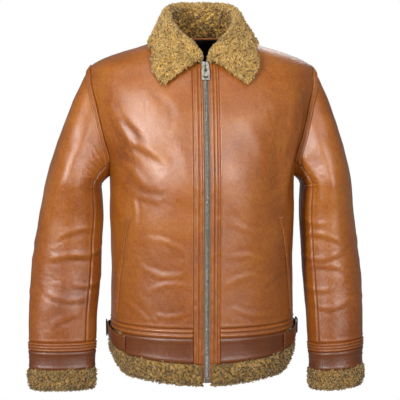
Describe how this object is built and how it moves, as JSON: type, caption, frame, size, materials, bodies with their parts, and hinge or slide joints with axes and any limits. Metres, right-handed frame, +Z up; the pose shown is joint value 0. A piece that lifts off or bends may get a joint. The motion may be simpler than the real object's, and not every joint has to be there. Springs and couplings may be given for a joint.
{
  "type": "leather jacket",
  "caption": "Zipped leather jacket in its worn hollow form, with a shearling collar, hem and cuffs, slanted welt pockets and buckled hem straps.",
  "frame": {"origin": "where the neck carries the jacket: midway between the two points where the shoulder seams meet the neckline", "axes": "+Z up, the front and its zip face -Y, +X points to the wearer's left"},
  "size_m": [0.691, 0.2985, 0.7865],
  "materials": {
    "leather": "glossy tan leather",
    "dark_leather": "reddish brown leather",
    "wool": "curly golden shearling",
    "tape": "woven zip tape",
    "metal": "antique nickel",
    "black_metal": "black painted wire"
  },
  "bodies": {
    "jacket": {"front_left": "leather", "front_right": "leather", "back": "leather", "placket_left": "leather", "placket_right": "leather", "waist_strip_left": "leather", "waist_strip_right": "leather", "waist_strip_back": "leather", "sleeve_upper_left": "leather", "sleeve_upper_right": "leather", "sleeve_under_left": "leather", "sleeve_under_right": "leather", "armhole_welt_left": "leather", "armhole_welt_right": "leather", "cuff_strip_left": "leather", "cuff_strip_right": "leather", "pocket_lip_front_left": "leather", "pocket_lip_front_right": "leather", "pocket_lip_back_left": "leather", "pocket_lip_back_right": "leather", "side_strap_left": "leather", "side_strap_right": "leather", "waist_band_left": "dark_leather", "waist_band_right": "dark_leather", "waist_band_back": "dark_leather", "cuff_band_left": "dark_leather", "cuff_band_right": "dark_leather", "collar": "wool", "hem_wool_left": "wool", "hem_wool_right": "wool", "hem_wool_back": "wool", "cuff_wool_left": "wool", "cuff_wool_right": "wool", "zip_tape_left": "tape", "zip_tape_right": "tape", "zip_chain": "metal", "zip_slider": "metal", "zip_bridge": "metal", "zip_box": "metal", "side_prong_left": "metal", "side_prong_right": "metal", "side_buckle_left": "black_metal", "side_buckle_right": "black_metal"},
    "zip_pull": {"zip_pull": "metal"}
  },
  "joints": [
    {"name": "zip_pull_hinge", "type": "hinge", "parent": "jacket", "child": "zip_pull", "pos_m": [0, -0.09781, -0.06237], "axis": [-1, 0, 0], "range_deg": [0, 105]}
  ]
}
